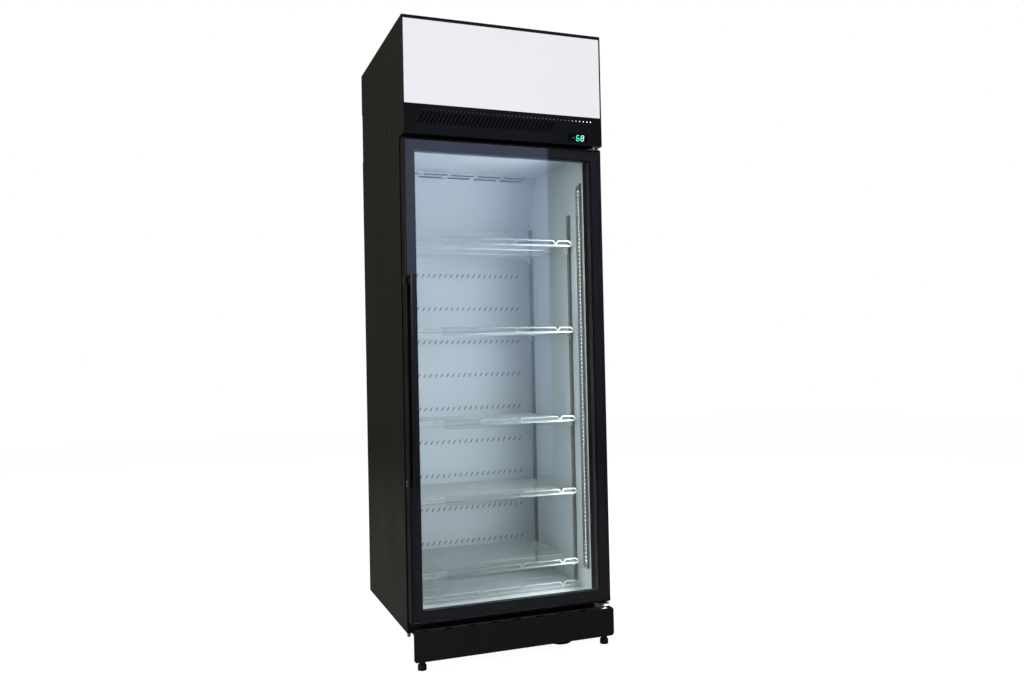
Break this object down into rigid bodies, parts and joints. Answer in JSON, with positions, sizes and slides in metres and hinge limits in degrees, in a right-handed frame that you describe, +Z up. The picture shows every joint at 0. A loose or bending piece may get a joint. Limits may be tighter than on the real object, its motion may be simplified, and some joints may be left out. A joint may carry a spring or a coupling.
{
  "type": "glass door merchandiser",
  "caption": "Upright refrigerated display case with one hinged glass door, wire shelves inside and a lit sign box above a vent panel.",
  "frame": {"origin": "on the floor, under the middle of the outline", "axes": "+Z up, the door faces -Y, the door's hinge side is +X"},
  "size_m": [0.6924, 0.682, 2.05],
  "materials": {
    "black_paint": "semi-gloss",
    "kick_paint": "matt",
    "liner_paint": "satin",
    "foam": "matt",
    "galvanised_steel": "zinc",
    "steel_fastener": "bright",
    "black_plastic": "satin",
    "roller_rubber": "matt",
    "sign_acrylic": "opal",
    "light_board": "matt",
    "smoked_lens": "smoked",
    "door_profile": "satin",
    "clear_glass": "clear",
    "spacer_aluminium": "mill",
    "gasket_rubber": "matt",
    "white_wire": "plastic coated",
    "clear_plastic": "clear",
    "white_plastic": "satin",
    "black_can": "semi-gloss",
    "copper": "drawn"
  },
  "bodies": {
    "cabinet": {"outer_cabinet": "black_paint", "rear_panel": "black_paint", "inner_liner": "liner_paint", "foam_insulation": "foam", "base_frame": "galvanised_steel", "kick_plate": "kick_paint", "cabinet_screws": "steel_fastener", "roller_brackets": "galvanised_steel", "roller_axles": "galvanised_steel", "condensate_cup": "black_plastic", "compartment_sides": "black_paint", "hood": "black_paint", "rear_grille": "black_paint", "canopy_housing": "black_paint", "sign_panel": "sign_acrylic", "led_boards": "light_board", "vent_panel": "black_paint", "controller_housing": "black_plastic", "display_lens": "smoked_lens", "hinge_brackets": "galvanised_steel", "shelf_standards": "galvanised_steel", "shelf_clips": "white_plastic", "lamp_housing": "spacer_aluminium", "lamp_cover": "clear_plastic", "duct_panel": "liner_paint", "evaporator_coil": "spacer_aluminium", "fan_motors": "galvanised_steel", "drain_line": "white_plastic", "compressor": "black_can", "condenser_coil": "spacer_aluminium", "refrigerant_pipes": "copper", "power_inlet": "black_plastic"},
    "door": {"door_frame": "door_profile", "door_front_glass": "clear_glass", "door_rear_glass": "clear_glass", "glass_spacer": "spacer_aluminium", "door_gasket": "gasket_rubber", "handle_bar": "black_plastic", "handle_brackets": "black_plastic", "door_screws": "steel_fastener", "hinge_bushes": "black_plastic"},
    "left_foot": {"front_foot_left": "black_plastic"},
    "right_foot": {"front_foot_right": "black_plastic"},
    "left_roller": {"rear_roller_left": "roller_rubber"},
    "right_roller": {"rear_roller_right": "roller_rubber"},
    "set_button": {"button_set": "black_plastic"},
    "lamp_button": {"button_light": "black_plastic"},
    "small_fan": {"evaporator_fan": "black_plastic"},
    "large_fan": {"condenser_fan": "black_plastic"},
    "rack_1": {"shelf_1": "white_wire", "price_strip_1": "clear_plastic"},
    "rack_2": {"shelf_2": "white_wire", "price_strip_2": "clear_plastic"},
    "rack_3": {"shelf_3": "white_wire", "price_strip_3": "clear_plastic"},
    "rack_4": {"shelf_4": "white_wire", "price_strip_4": "clear_plastic"},
    "rack_5": {"shelf_5": "white_wire", "price_strip_5": "clear_plastic"},
    "rack_6": {"shelf_6": "white_wire"}
  },
  "joints": [
    {"name": "door_swing", "type": "hinge", "parent": "cabinet", "child": "door", "pos_m": [0.329, -0.268, 0.9], "axis": [0, 0, 1], "range_deg": [0, 110], "stiffness_Nm_per_rad": 0.6},
    {"name": "shelf_1_pull", "type": "slide", "parent": "cabinet", "child": "rack_1", "axis": [0, -1, 0], "range_m": [0, 0.045]},
    {"name": "shelf_2_pull", "type": "slide", "parent": "cabinet", "child": "rack_2", "axis": [0, -1, 0], "range_m": [0, 0.045]},
    {"name": "shelf_3_pull", "type": "slide", "parent": "cabinet", "child": "rack_3", "axis": [0, -1, 0], "range_m": [0, 0.045]},
    {"name": "shelf_4_pull", "type": "slide", "parent": "cabinet", "child": "rack_4", "axis": [0, -1, 0], "range_m": [0, 0.045]},
    {"name": "shelf_5_pull", "type": "slide", "parent": "cabinet", "child": "rack_5", "axis": [0, -1, 0], "range_m": [0, 0.045]},
    {"name": "shelf_6_pull", "type": "slide", "parent": "cabinet", "child": "rack_6", "axis": [0, -1, 0], "range_m": [0, 0.045]},
    {"name": "left_foot_turn", "type": "hinge", "parent": "cabinet", "child": "left_foot", "pos_m": [-0.314, -0.303, 0.05], "axis": [0, 0, 1], "continuous": true},
    {"name": "right_foot_turn", "type": "hinge", "parent": "cabinet", "child": "right_foot", "pos_m": [0.314, -0.303, 0.05], "axis": [0, 0, 1], "continuous": true},
    {"name": "left_roller_turn", "type": "hinge", "parent": "cabinet", "child": "left_roller", "pos_m": [-0.25, 0.291, 0.03], "axis": [1, 0, 0], "continuous": true},
    {"name": "right_roller_turn", "type": "hinge", "parent": "cabinet", "child": "right_roller", "pos_m": [0.25, 0.291, 0.03], "axis": [1, 0, 0], "continuous": true},
    {"name": "set_button_press", "type": "slide", "parent": "cabinet", "child": "set_button", "axis": [0, 1, 0], "range_m": [0, 0.0015], "stiffness_N_per_m": 400},
    {"name": "lamp_button_press", "type": "slide", "parent": "cabinet", "child": "lamp_button", "axis": [0, 1, 0], "range_m": [0, 0.0015], "stiffness_N_per_m": 400},
    {"name": "evaporator_fan_turn", "type": "hinge", "parent": "cabinet", "child": "small_fan", "pos_m": [0, 0.219, 1.618], "axis": [0, 1, 0], "continuous": true},
    {"name": "condenser_fan_turn", "type": "hinge", "parent": "cabinet", "child": "large_fan", "pos_m": [-0.04, -0.127, 1.8405], "axis": [0, 1, 0], "continuous": true}
  ]
}
